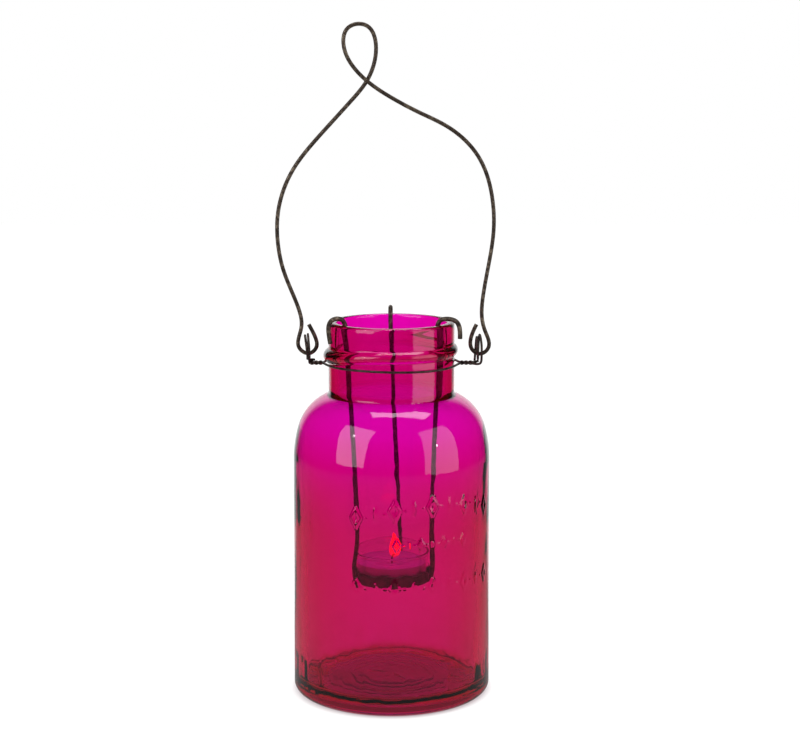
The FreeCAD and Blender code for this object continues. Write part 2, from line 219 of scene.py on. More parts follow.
# painted shadow: under the jar the floor's glow is dimmed to crimson, standing in for the shade
# there and the little light that comes through the glass
painted_shadow_colour = add_node(
    tree,
    "ShaderNodeMix",
    {"data_type": "RGBA", 6: FOOT_PAINTED_SHADOW, 7: (1, 1, 1, 1)},
    {"Factor": painted_shadow_mask.outputs["Result"]},
)
tree.links.new(painted_shadow_colour.outputs[2], tree.nodes["Principled BSDF"].inputs["Emission Color"])
close_by = add_node(
    tree,
    "ShaderNodeMapRange",
    {
        "From Min": NEAR_JAR[0],
        "From Max": NEAR_JAR[1],
        "To Min": NEAR_SHINE,
        "To Max": DIM_ROOM,
    },
    {"Value": spot_away.outputs["Value"]},
)
floor_image = add_node(
    tree,
    "ShaderNodeMapRange",
    {
        "interpolation_type": "SMOOTHSTEP",
        "From Min": WALL_SEEN[0],
        "From Max": WALL_SEEN[1],
        "To Max": 1.0,
    },
    {"Value": spot_parts.outputs["Y"], "To Min": close_by.outputs["Result"]},
)
mirrored = add_node(
    tree,
    "ShaderNodeMath",
    {"operation": "SUBTRACT", "use_clamp": True},
    {0: ray.outputs["Is Glossy Ray"], 1: ray.outputs["Is Transmission Ray"]},
)
shade = add_node(
    tree, "ShaderNodeEmission", {"Color": (1, 1, 1, 1)}, {"Strength": floor_image.outputs["Result"]}
)
blend = add_node(
    tree,
    "ShaderNodeMixShader",
    {},
    {
        0: mirrored.outputs["Value"],
        1: tree.nodes["Principled BSDF"].outputs["BSDF"],
        2: shade.outputs["Emission"],
    },
)
tree.links.new(blend.outputs["Shader"], tree.nodes["Material Output"].inputs["Surface"])
floor.data.materials.append(paper)

# ---------------------------------------------------------------- glass jar
# A quart preserving jar of magenta glass, blown into a two-part mould: thick in the
# base, thin in the shoulder, with a bead on the neck for the lid and moulded ornament
# on one side. The wall thickens downwards, which turns the magenta to deep crimson.

JAR_TURNS = 192
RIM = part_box("glass_jar")[1][2] / MM
FOOT_RADIUS = 50.0
TOP_RADIUS = 49.5
HEEL = 4.0
SHOULDER_START = 119.8
SHOULDER_ARC = 60.0
CROWN_ARC = 24.7
NECK_ROOT = 154.0
NECK_FILLET = 1.5
NECK_RADIUS = 31.6
MOUTH_RADIUS = 27.5
ROOT_RADIUS = 26.9
LIP = 1.5
SHOULDER_WALL = 2.0
SIDE_WALL = 3.4
MIDDLE_WALL = 5.1
LOW_WALL = 5.6
FLOOR_TOP = 6.6
FLOOR_CORNER = 4.0
INNER_FILLET = 5.0
# heights in mm: where the wall is MIDDLE_WALL thick, and the stretch that has the bead
MIDDLE_LEVEL = 88
BEAD_LOW = 166
BEAD_HIGH = 183


def arc(centre, radius, start, stop, steps):
    """Points on an arc, its angles in degrees from +r towards +z."""
    turns = [math.radians(start + (stop - start) * i / steps) for i in range(steps + 1)]
    return [(centre[0] + radius * math.cos(t), centre[1] + radius * math.sin(t)) for t in turns]


def run(start, stop, pace):
    """Evenly spaced points on a straight stretch, without its two ends."""
    count = max(1, round(math.dist(start, stop) / pace))
    return [
        (start[0] + (stop[0] - start[0]) * i / count, start[1] + (stop[1] - start[1]) * i / count)
        for i in range(1, count)
    ]


# the shoulder is a wide arc and a tighter one, and a small fillet meets the neck
wide_centre = (TOP_RADIUS - SHOULDER_ARC, SHOULDER_START)
fillet_centre = (NECK_RADIUS + NECK_FILLET, NECK_ROOT)
reach = SHOULDER_ARC - CROWN_ARC
span = math.dist(wide_centre, fillet_centre)
lean = math.atan2(fillet_centre[1] - wide_centre[1], fillet_centre[0] - wide_centre[0])
corner = (reach**2 + span**2 - (CROWN_ARC + NECK_FILLET) ** 2) / (2 * reach * span)
bend = math.degrees(lean - math.acos(corner))
crown_centre = (
    wide_centre[0] + reach * math.cos(math.radians(bend)),
    wide_centre[1] + reach * math.sin(math.radians(bend)),
)


def shoulder(inset, neck_radius, fillet):
    """The shoulder from the side to the neck, inset from the outside by the wall."""
    crown = CROWN_ARC - inset
    root_r = neck_radius + fillet
    root_z = crown_centre[1] + math.sqrt((crown + fillet) ** 2 - (root_r - crown_centre[0]) ** 2)
    rise = math.degrees(math.atan2(root_z - crown_centre[1], root_r - crown_centre[0]))
    points = arc(wide_centre, SHOULDER_ARC - inset, 0, bend, 12)
    points += arc(crown_centre, crown, bend, rise, 18)[1:]
    points += arc((root_r, root_z), fillet, 180 + rise, 180, 8)[1:]
    return points


# the underside is pushed up behind a steep foot ring and keeps a few faint mould rings
outside = [(0, 5.4), (5, 5.4), (10, 5.4)]
for r in range(12, 40):
    ring = 0.10 * math.cos(math.tau * r / 5.6) + 0.08 * math.cos(math.tau * r / 3.7 + 1)
    outside.append((r, 5.3 - 0.4 * (r / 40) ** 3 + ring))
outside += [(40, 4.9), (41.2, 4.5), (42.0, 3.6), (42.4, 2.4), (42.8, 1.0), (43.2, 0.3), (44, 0.0)]
outside += arc((FOOT_RADIUS - HEEL, HEEL), HEEL, -90, 0, 8)
outside += run((FOOT_RADIUS, HEEL), (TOP_RADIUS, SHOULDER_START), 1.0)
outside += shoulder(0, NECK_RADIUS, NECK_FILLET)
outside += run((NECK_RADIUS, NECK_ROOT), (NECK_RADIUS, BEAD_LOW), 1.2)
outside += run((NECK_RADIUS, BEAD_LOW), (NECK_RADIUS, BEAD_HIGH), 0.4)
outside += run((NECK_RADIUS, BEAD_HIGH), (NECK_RADIUS, RIM - LIP), 1.2)
outside += arc((NECK_RADIUS - LIP, RIM - LIP), LIP, 0, 90, 6)

# inside, the neck meets the thin shoulder in a tight curve, and the side grows thicker
inner_shoulder = [
    (r - (SIDE_WALL - SHOULDER_WALL) * min(max((137 - z) / 22, 0), 1), z)
    for r, z in shoulder(SHOULDER_WALL, ROOT_RADIUS, INNER_FILLET)
]
inside = arc((MOUTH_RADIUS + LIP, RIM - LIP), LIP, 90, 180, 6)
inside += run((MOUTH_RADIUS, RIM - LIP), inner_shoulder[-1], 3.0)
inside += inner_shoulder[::-1]
low_corner = (FOOT_RADIUS - LOW_WALL, FLOOR_TOP + FLOOR_CORNER)
inside += run(inner_shoulder[0], (TOP_RADIUS - MIDDLE_WALL, MIDDLE_LEVEL), 2.0)
inside += run((TOP_RADIUS - MIDDLE_WALL, MIDDLE_LEVEL), low_corner, 2.0)
inside += arc((low_corner[0] - FLOOR_CORNER, low_corner[1]), FLOOR_CORNER, 0, -90, 12)
inside += [(36, 6.6), (30, 6.8), (25, 7.1), (20, 7.4), (14, 7.7), (7, 7.9), (0, 8.0)]


def start_outline(name, first):
    """A new mesh of one point, ready in edit mode to be extruded into an outline."""
    bpy.ops.object.select_all(action="DESELECT")
    bpy.ops.mesh.primitive_plane_add(size=MM, location=(first[0] * MM, 0, first[1] * MM))
    piece = bpy.context.object
    piece.name = piece.data.name = name
    bpy.ops.object.transform_apply(location=True, rotation=True, scale=True)
    bpy.ops.object.mode_set(mode="EDIT")
    bpy.ops.mesh.select_mode(type="VERT")
    bpy.ops.mesh.merge(type="CENTER")
    return piece


def turn_outline(name, outline, turns):
    """Extrude an outline point by point, then spin it into a closed turned piece."""
    piece = start_outline(name, outline[0])
    for here, there in zip(outline, outline[1:]):
        step = ((there[0] - here[0]) * MM, 0, (there[1] - here[1]) * MM)
        bpy.ops.mesh.extrude_region_move(TRANSFORM_OT_translate={"value": step})
    bpy.ops.mesh.select_all(action="SELECT")
    bpy.ops.mesh.spin(steps=turns, angle=math.tau, center=(0, 0, 0), axis=(0, 0, 1))
    bpy.ops.mesh.select_all(action="SELECT")
    bpy.ops.mesh.remove_doubles(threshold=0.005 * MM)
    bpy.ops.mesh.normals_make_consistent(inside=False)
    bpy.ops.object.mode_set(mode="OBJECT")
    bpy.ops.object.shade_smooth()
    return piece


jar = turn_outline("moulded_jar", outside + inside, JAR_TURNS)

# the panel that carries the ornament is divided again, so that the relief is smooth
PANEL_CENTRE = 24.0
PANEL_HALF = 64.0
PANEL_LOW = 54.0
PANEL_HIGH = 110.0


def bearing(point):
    """Degrees round the jar from the front, positive towards +X."""
    return math.degrees(math.atan2(point[0], -point[1]))


bpy.ops.object.mode_set(mode="EDIT")
bpy.ops.mesh.select_all(action="DESELECT")
bpy.ops.mesh.select_mode(type="FACE")
bpy.ops.object.mode_set(mode="OBJECT")
for face in jar.data.polygons:
    middle = face.center
    face.select = (
        PANEL_LOW < middle.z / MM < PANEL_HIGH
        and abs(bearing(middle) - PANEL_CENTRE) < PANEL_HALF
        and middle.xy.length / MM > 48.5
    )
bpy.ops.object.mode_set(mode="EDIT")
bpy.ops.mesh.subdivide(number_cuts=2)
bpy.ops.object.mode_set(mode="OBJECT")


def smooth_step(low, high, value):
    """0 below low, 1 above high, and a smooth rise between."""
    share = min(max((value - low) / (high - low), 0), 1)
    return share * share * (3 - 2 * share)


RELIEF = 0.44
RELIEF_EDGE = 0.6


def lozenge(across, up, half_width, half_height, band):
    """Height share of a lozenge drawn as a raised band."""
    out = (abs(across) / half_width + abs(up) / half_height - 1) * half_width * 0.7
    return 1 - smooth_step(band / 2, band / 2 + RELIEF_EDGE, abs(out))


def leaf(across, up, half_width, half_height):
    """Height share of a solid pointed leaf."""
    if abs(up) >= half_height:
        return 0.0
    edge = half_width * (1 - (up / half_height) ** 2)
    return 1 - smooth_step(-RELIEF_EDGE / 2, RELIEF_EDGE / 2, abs(across) - edge)


def stud(across, up, radius):
    """Height share of a round stud."""
    return 1 - smooth_step(-RELIEF_EDGE / 2, RELIEF_EDGE / 2, math.hypot(across, up) - radius)


def row_of_ornament(turn, height, pitch, count, middle_height, sag, tall):
    """Height share of a row of lozenges and leaves with studs between them."""
    best = 0.0
    place = turn / pitch + (count - 1) / 2
    for index in (math.floor(place), math.floor(place) + 1):
        if not 0 <= index < count:
            continue
        offset = (index - (count - 1) / 2) * pitch
        across = math.radians(turn - offset) * FOOT_RADIUS
        up = height - (middle_height - sag * (offset / 50) ** 2)
        if index % 2:
            best = max(best, leaf(across, up, tall * 0.20, tall))
        else:
            best = max(best, lozenge(across, up, tall * 0.56, tall, 0.6))
        gap = across - math.radians(pitch / 2) * FOOT_RADIUS
        if index < count - 1:
            best = max(best, stud(gap, up, 0.4))
    return best


ORNAMENT_ROWS = [
    # pitch in degrees, how many, then in mm the middle's height, the sag and the half height
    (11.0, 9, 105.0, 6.5, 4.0),
    (7.0, 7, 86.5, 0.0, 1.9),
    (11.0, 9, 65.0, 0.0, 3.4),
]


def ornament(turn, height):
    """Height share of all the ornament at a place on the jar's side."""
    return max(row_of_ornament(turn - PANEL_CENTRE, height, *row) for row in ORNAMENT_ROWS)


BEAD_PROUD = 2.6
OUTERMOST = 49.98
# unevenness in mm, slow and quick, of the wall inside and of the skin outside
INSIDE_WAVES = (0.32, 0.14)
OUTSIDE_WAVES = (0.10, 0.05)


def bead(turn, height):
    """How far the thread bead stands out: it starts low at the left and climbs."""
    along = (turn + 90) % 360
    if along > 320:
        along -= 360
    middle = 172.4 + 3.0 * smooth_step(-5, 90, along)
    half = 3.8 - 0.9 * smooth_step(0, 80, along)
    proud = BEAD_PROUD - 0.9 * smooth_step(60, 180, along)
    fade = smooth_step(-38, -6, along) * (1 - smooth_step(235, 300, along))
    off = (height - middle) / half
    return proud * fade * (1 - off * off) ** 0.85 if abs(off) < 1 else 0.0


for vertex in jar.data.vertices:
    place = vertex.co
    radius = place.xy.length / MM
    if radius < 0.1:
        continue
    height = place.z / MM
    turn = bearing(place)
    unit = Vector((place.x, place.y, 0)).normalized()
    wall_inside = (
        radius < MOUTH_RADIUS + 0.8
        or (height < 150 and radius < FOOT_RADIUS - 1.2 and FLOOR_TOP + 1 < height < 118)
    )
    slow = noise.noise(Vector((unit.x * 1.6, unit.y * 1.6, height / 42)))
    quick = noise.noise(Vector((unit.x * 7, unit.y * 7, height / 30 + 9)))
    if wall_inside and 20 < height < 150:
        shift = INSIDE_WAVES[0] * slow + INSIDE_WAVES[1] * quick
    elif height < 20 and radius < FOOT_RADIUS - LOW_WALL + 0.5 and height > 5:
        ragged = noise.noise(Vector((unit.x * 11, unit.y * 11, radius / 9)))
        near_corner = smooth_step(28, 38, radius)
        ridge = math.exp(-(((radius - 41.0 - 0.8 * ragged) / 1.3) ** 2)) if height < 12 else 0.0
        place.z += ((1.0 + 0.9 * ragged) * ridge + 0.5 * ragged * near_corner + 0.25 * slow) * MM
        shift = 0.6 * ragged * near_corner
    elif height > 12 and radius > FOOT_RADIUS - 1.2 or (height > 125 and radius > 31):
        shift = OUTSIDE_WAVES[0] * slow + OUTSIDE_WAVES[1] * quick
        if BEAD_LOW < height < BEAD_HIGH:
            shift += bead(turn, height)
        if PANEL_LOW < height < PANEL_HIGH and abs(turn - PANEL_CENTRE) < PANEL_HALF:
            shift += RELIEF * ornament(turn, height)
        shift = min(shift, 0.0) if height < 30 else min(shift, OUTERMOST - radius)
    else:
        shift = 0.0
    place.x += unit.x * shift * MM
    place.y += unit.y * shift * MM

# Soda-lime glass coloured in the melt: colour goes by depth of glass, the surface is
# glossy from the mould with faint ripples, and it bends light like window glass.
glass = bpy.data.materials.new("magenta soda-lime glass, mould blown")
glass.use_nodes = True
tree = glass.node_tree
shader = tree.nodes["Principled BSDF"]
out = tree.nodes["Material Output"]
shader.inputs["Roughness"].default_value = 0.0
shader.inputs["IOR"].default_value = 1.5
shader.inputs["Transmission Weight"].default_value = 1.0
where = add_node(tree, "ShaderNodeTexCoord")
tint_noise = add_node(
    tree,
    "ShaderNodeTexNoise",
    {"Scale": 1 / (40 * MM), "Detail": 2.0},
    {"Vector": where.outputs["Object"]},
)
tint = add_node(tree, "ShaderNodeValToRGB", {}, {"Fac": tint_noise.outputs["Fac"]})
tint.color_ramp.elements[0].color = (0.88, 0.86, 0.95, 1)
tint.color_ramp.elements[1].color = (0.92, 0.95, 1, 1)
tree.links.new(tint.outputs["Color"], shader.inputs["Base Color"])
ripple = add_node(
    tree,
    "ShaderNodeTexNoise",
    {"Scale": 1 / (7 * MM), "Detail": 1.0},
    {"Vector": where.outputs["Object"]},
)
bump = add_node(
    tree,
    "ShaderNodeBump",
    {"Strength": 0.10, "Distance": 0.4 * MM},
    {"Height": ripple.outputs["Fac"]},
)
tree.links.new(bump.outputs["Normal"], shader.inputs["Normal"])
depth_colour = add_node(
    tree, "ShaderNodeVolumeAbsorption", {"Color": (0.970, 0.028, 0.866, 1), "Density": 1600.0}
)
tree.links.new(depth_colour.outputs["Volume"], out.inputs["Volume"])
jar.data.materials.append(glass)
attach(jar, "jar")
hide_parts("glass_jar")

# ---------------------------------------------------------------- bail
# One length of 2 mm annealed steel wire, bent by hand: a hook through each eye of the
# collar, two bowed arms, and a loop where they cross. The cut ends are left square.

BAIL_WIRE = 2.0


def bent_wire(name, bends, diameter):
    """A round wire along a smooth line through its bends, in mm, with square cut ends."""
    bpy.ops.object.select_all(action="DESELECT")
    bpy.ops.curve.primitive_nurbs_path_add(location=(0, 0, 0))
    wire = bpy.context.object
    wire.name = wire.data.name = name
    spline = wire.data.splines[0]
    spline.points.add(len(bends) - len(spline.points))
    for point, bend in zip(spline.points, bends):
        point.co = (bend[0] * MM, bend[1] * MM, bend[2] * MM, 1)
    spline.use_endpoint_u = True
    spline.order_u = 4
    spline.resolution_u = 10
    wire.data.bevel_depth = diameter / 2 * MM
    wire.data.bevel_resolution = 4
    wire.data.use_fill_caps = True
    bpy.ops.object.convert(target="MESH")
    wire = bpy.context.object
    bpy.ops.object.mode_set(mode="EDIT")
    bpy.ops.mesh.select_all(action="SELECT")
    bpy.ops.mesh.remove_doubles(threshold=0.001 * MM)
    bpy.ops.mesh.normals_make_consistent(inside=False)
    bpy.ops.object.mode_set(mode="OBJECT")
    bpy.ops.object.shade_smooth_by_angle(angle=math.radians(50))
    return wire


left_hook = [(-41.4, 187.9), (-39.4, 184.4), (-37.1, 179.5)]
left_hook += [(-37.3, 175.6), (-41.6, 172.0), (-46.9, 175.6)]
left_arm = [(-47.0, 180.0), (-44.9, 185.8), (-44.8, 190.5)]
left_arm += [(-46.6, 197.0), (-50.6, 206.5), (-54.2, 215.5)]
left_arm += [(-56.6, 227.0), (-57.1, 243.0), (-52.6, 258.5)]
left_arm += [(-45.0, 271.0), (-32.5, 284.7), (-19.5, 298.7)]
top_loop = [(-10.7, 308.5), (-6.6, 321.5), (-8.2, 332.8), (-14.5, 336.8), (-23.9, 333.9)]
top_loop += [(-23.6, 320.5), (-13.3, 308.3)]
right_arm = [(0.5, 299.6), (14.5, 292.3), (29.0, 286.2)]
right_arm += [(42.3, 274.5), (49.2, 259.0), (51.5, 240.0)]
right_arm += [(50.0, 226.0), (47.4, 212.5), (45.3, 200.0)]
right_arm += [(44.9, 191.5), (46.5, 185.0), (48.8, 180.5)]
right_hook = [(49.4, 175.7), (44.7, 171.9), (39.9, 174.8)]
right_hook += [(39.1, 179.5), (40.7, 184.2), (42.6, 187.9)]

# the wire goes up into the loop behind and comes down out of it in front
bail_bends = [(x, 0.0, z) for x, z in left_hook + left_arm]
for step, (x, z) in enumerate(top_loop):
    bail_bends.append((x, 1.25 * (1 - 2 * step / (len(top_loop) - 1)), z))
bail_bends += [(x, 0.0, z) for x, z in right_arm + right_hook]
bail = bent_wire("bent_bail", bail_bends, BAIL_WIRE)

# Annealed steel wire, drawn and heat blackened: a thin brown-black scale over grey
# metal, rubbed a little brighter in patches, with fine die marks round the wire.
wire_metal = bpy.data.materials.new("steel wire, annealed and oil blackened")
wire_metal.use_nodes = True
tree = wire_metal.node_tree
shader = tree.nodes["Principled BSDF"]
shader.inputs["Metallic"].default_value = 0.55
where = add_node(tree, "ShaderNodeTexCoord")
patches = add_node(
    tree,
    "ShaderNodeTexNoise",
    {"Scale": 1 / (2.2 * MM), "Detail": 3.0, "Roughness": 0.65},
    {"Vector": where.outputs["Object"]},
)
scale_colour = add_node(tree, "ShaderNodeValToRGB", {}, {"Fac": patches.outputs["Fac"]})
scale_colour.color_ramp.elements[0].position = 0.30
scale_colour.color_ramp.elements[0].color = linear("#231b15")
scale_colour.color_ramp.elements[1].position = 0.74
scale_colour.color_ramp.elements[1].color = linear("#766a5a")
rust = scale_colour.color_ramp.elements.new(0.52)
rust.color = linear("#41362d")
tree.links.new(scale_colour.outputs["Color"], shader.inputs["Base Color"])
dullness = add_node(
    tree,
    "ShaderNodeMapRange",
    {"From Min": 0.3, "From Max": 0.7, "To Min": 0.50, "To Max": 0.28},
    {"Value": patches.outputs["Fac"]},
)
tree.links.new(dullness.outputs["Result"], shader.inputs["Roughness"])
# die marks and scale, 0.8 mm apart so that they still show
die_marks = add_node(
    tree,
    "ShaderNodeTexWave",
    {"bands_direction": "DIAGONAL", "Scale": 1 / (5.2 * MM), "Distortion": 2.5, "Detail": 2.0},
    {"Vector": where.outputs["Object"]},
)
wire_bump = add_node(
    tree,
    "ShaderNodeBump",
    {"Strength": 0.8, "Distance": 0.15 * MM},
    {"Height": die_marks.outputs["Fac"]},
)
tree.links.new(wire_bump.outputs["Normal"], shader.inputs["Normal"])
bail.data.materials.append(wire_metal)
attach(bail, "bail")
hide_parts("bail_handle")

# ---------------------------------------------------------------- collar
# Two strands of 1.2 mm wire close round the neck below the bead and are twisted together
# at each side. The front strand is then coiled twice into the eye that holds the bail.

COLLAR_WIRE = 1.2
COLLAR_LEVEL = 168.6
TWIST_START = 34.4
TWIST_END = 40.4
TWIST_PITCH = 4.3
STRAND_OFFSET = 0.64


def round_the_neck(side):
    """A strand from left to right round the neck: side is -1 in front, +1 behind."""
    # a smooth line lies a little inside the bends that shape it
    radius = (NECK_RADIUS + COLLAR_WIRE / 2 + 0.25) * 1.021
    bends = []
    for turn in range(22, 170, 17):
        angle = math.radians(turn)
        rise = 0.35 * math.sin(2.3 * angle + side)
        place = (-radius * math.cos(angle), side * radius * math.sin(angle), COLLAR_LEVEL + rise)
        bends.append(place)
    return bends


def twist(end, side):
    """A strand's helix at one end of the collar, from the neck outwards."""
    bends = []
    for step in range(12):
        out = TWIST_START + (TWIST_END - TWIST_START) * step / 11
        angle = math.tau * (out - TWIST_START) / TWIST_PITCH
        bends.append(
            (
                end * out,
                side * STRAND_OFFSET * math.cos(angle),
                COLLAR_LEVEL - 0.1 + STRAND_OFFSET * side * end * math.sin(angle),
            )
        )
    return bends


left_eye = [
    (-41.0, -0.3, 168.0), (-41.3, -0.3, 169.3), (-41.1, -1.6, 169.9), (-40.9, -3.1, 172.4),
    (-41.1, -3.9, 177.0), (-41.5, -2.7, 181.6), (-41.9, 0.0, 183.7), (-41.9, 2.7, 181.4),
    (-41.6, 3.9, 177.0), (-41.5, 3.1, 172.4), (-41.6, 0.0, 169.3), (-41.9, -3.1, 172.4),
    (-42.4, -3.9, 177.0), (-43.0, -2.7, 181.2), (-43.4, 0.0, 183.0), (-43.2, 2.7, 180.8),
    (-42.7, 3.8, 176.6), (-42.3, 2.9, 172.4), (-42.2, 1.3, 170.0),
]
right_eye = [
    (42.4, -0.5, 167.8), (44.6, -0.8, 167.9), (45.2, -1.6, 169.6), (45.1, -3.1, 172.4),
    (45.2, -3.9, 177.0), (44.7, -2.7, 181.2), (44.2, 0.0, 183.4), (43.9, 2.7, 181.0),
    (43.8, 3.9, 177.0), (43.6, 3.1, 172.4), (43.4, 0.0, 169.3), (43.2, -3.1, 172.4),
    (43.0, -3.9, 177.0), (42.9, -2.7, 180.6), (42.8, 0.0, 182.0), (42.6, 2.7, 180.4),
    (42.4, 3.8, 176.8), (42.1, 2.9, 172.4), (41.8, 1.5, 169.2),
]
front_bends = left_eye[::-1] + twist(-1, -1)[::-1] + round_the_neck(-1) + twist(1, -1) + right_eye
front_strand = bent_wire("collar_front_strand", front_bends, COLLAR_WIRE)

# the back strand ends in a short stub at each side
left_stub = [(-41.3, 0.6, 168.7), (-41.0, 0.7, 170.0), (-39.6, 0.2, 170.2), (-38.6, -0.4, 170.1)]
right_stub = [(41.2, 0.5, 168.6), (42.6, 0.6, 168.9), (43.8, 0.5, 169.5)]
back_bends = left_stub[::-1] + twist(-1, 1)[::-1] + round_the_neck(1) + twist(1, 1) + right_stub
back_strand = bent_wire("collar_back_strand", back_bends, COLLAR_WIRE)

# Black annealed tying wire: the same scale as the bail's, darker all over, and rougher
# where the scale is darker.
tying_metal = wire_metal.copy()
tying_metal.name = "tying wire, black annealed"
tying_ramp = next(n for n in tying_metal.node_tree.nodes if n.type == "VALTORGB").color_ramp
tying_ramp.elements[0].color = linear("#1d1714")
tying_ramp.elements[1].color = linear("#352b26")
tying_ramp.elements[2].color = linear("#5a4e46")
for strand, node in ((front_strand, "collar_wire_front"), (back_strand, "collar_wire_back")):
    strand.data.materials.append(tying_metal)
    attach(strand, "jar")
    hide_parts(node)

# ---------------------------------------------------------------- hangers
# Three lengths of 2.3 mm wire bent over the jar's lip, each a little differently, that
# lean in to the dish and are welded to its side at the foot.

HANGER_WIRE = 2.3
HANGER_PROFILE = [
    # distance from the jar's axis and height
    (22.0, 57.8), (22.1, 61.0), (22.8, 65.0), (22.9, 69.0), (22.4, 74.0), (22.8, 88.0),
    (23.8, 108.0), (24.7, 130.0), (25.5, 152.0), (26.1, 172.0), (26.3, 184.0), (26.3, 190.4),
    (28.6, 192.9), (32.6, 192.9), (34.7, 190.0), (35.0, 186.0), (34.9, 181.6),
]
HANGERS = {
    # name: bearing in degrees, then in mm the sideways lean at the foot and at the lip,
    # how far it bows in, and how far its hook stands out
    "back": (90.0, -4.6, 0.6, 0.0, 0.0),
    "left": (210.0, 1.9, 0.2, 2.2, 1.2),
    "right": (330.0, 1.2, -0.3, 0.0, 4.2),
}
for name, (bearing_of, foot_lean, lip_lean, bow, stand_off) in HANGERS.items():
    turn = math.radians(bearing_of)
    outward = Vector((math.cos(turn), math.sin(turn), 0))
    sideways = Vector((-math.sin(turn), math.cos(turn), 0))
    bends = []
    for index, (radius, height) in enumerate(HANGER_PROFILE):
        share = smooth_step(57, 190, height)
        lean_here = foot_lean * (1 - share) + lip_lean * share
        wobble = 0.35 * math.sin(height / 17 + bearing_of)
        reach_out = radius - bow * smooth_step(68, 80, height) * (1 - smooth_step(176, 190, height))
        reach_out += stand_off * smooth_step(27, 34, radius)
        if height < 80:
            # the foot stays against the dish however far it leans
            reach_out = math.sqrt(max(reach_out**2 - lean_here**2, 0))
        if index == len(HANGER_PROFILE) - 1:
            height += 0.9 * (stand_off - 2.2)
        place = outward * reach_out + sideways * (lean_here + wobble * (height < 175))
        bends.append((place.x, place.y, height))
    hanger = bent_wire("hanger_" + name, bends, HANGER_WIRE)
    hanger.data.materials.append(wire_metal)
    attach(hanger, "holder")
    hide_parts("hanger_wire_" + name)

# ---------------------------------------------------------------- dish
# A shallow dish pressed from thin sheet steel, with a lip that is fluted in eleven soft
# waves. It is blackened with the wires after they are welded to it.

DISH_FLUTES = 11
DISH_TURNS = 132
dish_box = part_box("holder_dish")
dish_low, dish_high = dish_box[0][2] / MM, dish_box[1][2] / MM
dish_outside = [(0, dish_low), (10, dish_low), (17.5, dish_low)]
dish_outside += arc((18.6, dish_low + 1.8), 1.8, -90, -8, 6)
dish_outside += run((20.4, dish_low + 2), (20.6, dish_high - 0.6), 0.8)
dish_outside += arc((20.3, dish_high - 0.4), 0.4, 0, 180, 6)
dish_outside += run((19.9, dish_high - 0.6), (19.7, dish_low + 2.4), 0.8)
dish_outside += arc((18.6, dish_low + 1.9), 1.05, 0, -90, 5)
dish_outside += [(17.0, dish_low + 0.82), (9, dish_low + 0.8), (0, dish_low + 0.8)]
dish = turn_outline("fluted_dish", dish_outside, DISH_TURNS)
for vertex in dish.data.vertices:
    place = vertex.co
    height = place.z / MM - dish_low
    if place.xy.length / MM < 17:
        continue
    angle = math.atan2(place.y, place.x)
    wave = math.cos(DISH_FLUTES * angle + 0.6) + 0.3 * math.sin(3 * angle)
    share = smooth_step(1.5, 6.5, height)
    place.z += (0.62 * wave - 0.75) * share * MM
    place.xy *= 1 + (0.012 * wave - 0.004) * share

# Thin sheet steel, pressed and blackened: dark brown scale in stains, duller where
# it is darker.
sheet_metal = bpy.data.materials.new("sheet steel, pressed and blackened")
sheet_metal.use_nodes = True
tree = sheet_metal.node_tree
shader = tree.nodes["Principled BSDF"]
shader.inputs["Metallic"].default_value = 0.45
where = add_node(tree, "ShaderNodeTexCoord")
stains = add_node(
    tree,
    "ShaderNodeTexNoise",
    {"Scale": 1 / (6 * MM), "Detail": 4.0, "Roughness": 0.6},
    {"Vector": where.outputs["Object"]},
)
stain_colour = add_node(tree, "ShaderNodeValToRGB", {}, {"Fac": stains.outputs["Fac"]})
stain_colour.color_ramp.elements[0].position = 0.32
stain_colour.color_ramp.elements[0].color = linear("#2b211d")
stain_colour.color_ramp.elements[1].position = 0.70
stain_colour.color_ramp.elements[1].color = linear("#5c4c43")
tree.links.new(stain_colour.outputs["Color"], shader.inputs["Base Color"])
dullness = add_node(
    tree,
    "ShaderNodeMapRange",
    {"From Min": 0.3, "From Max": 0.7, "To Min": 0.62, "To Max": 0.42},
    {"Value": stains.outputs["Fac"]},
)
tree.links.new(dullness.outputs["Result"], shader.inputs["Roughness"])
grain = add_node(
    tree,
    "ShaderNodeTexNoise",
    {"Scale": 1 / (0.9 * MM), "Detail": 2.0},
    {"Vector": where.outputs["Object"]},
)
sheet_bump = add_node(
    tree,
    "ShaderNodeBump",
    {"Strength": 0.3, "Distance": 0.08 * MM},
    {"Height": grain.outputs["Fac"]},
)
tree.links.new(sheet_bump.outputs["Normal"], shader.inputs["Normal"])
dish.data.materials.append(sheet_metal)
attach(dish, "holder")
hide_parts("holder_dish")

# ---------------------------------------------------------------- tealight cup
# A clear cup moulded in polycarbonate, 38 mm across, with a small rolled lip and a
# rounded foot.

TEALIGHT_TURNS = 96
cup_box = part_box("tealight_cup")
cup_low, cup_high = cup_box[0][2] / MM, cup_box[1][2] / MM
cup_radius = cup_box[1][0] / MM
cup_outside = [(0, cup_low + 0.25), (8, cup_low + 0.25), (14, cup_low + 0.2), (16.2, cup_low)]
cup_outside += arc((cup_radius - 1.9, cup_low + 1.6), 1.6, -90, 0, 6)
cup_outside += run((cup_radius - 0.3, cup_low + 1.6), (cup_radius - 0.25, cup_high - 1.4), 1.2)
cup_outside += arc((cup_radius - 0.6, cup_high - 0.6), 0.6, -35, 180, 9)
cup_outside += run((cup_radius - 1.2, cup_high - 0.6), (cup_radius - 1.1, cup_low + 2.4), 1.2)
cup_outside += arc((cup_radius - 2.6, cup_low + 2.35), 1.5, 0, -90, 6)
cup_outside += [(13.5, cup_low + 0.83), (6, cup_low + 0.85), (0, cup_low + 0.85)]
cup = turn_outline("tealight_cup_clear", cup_outside, TEALIGHT_TURNS)

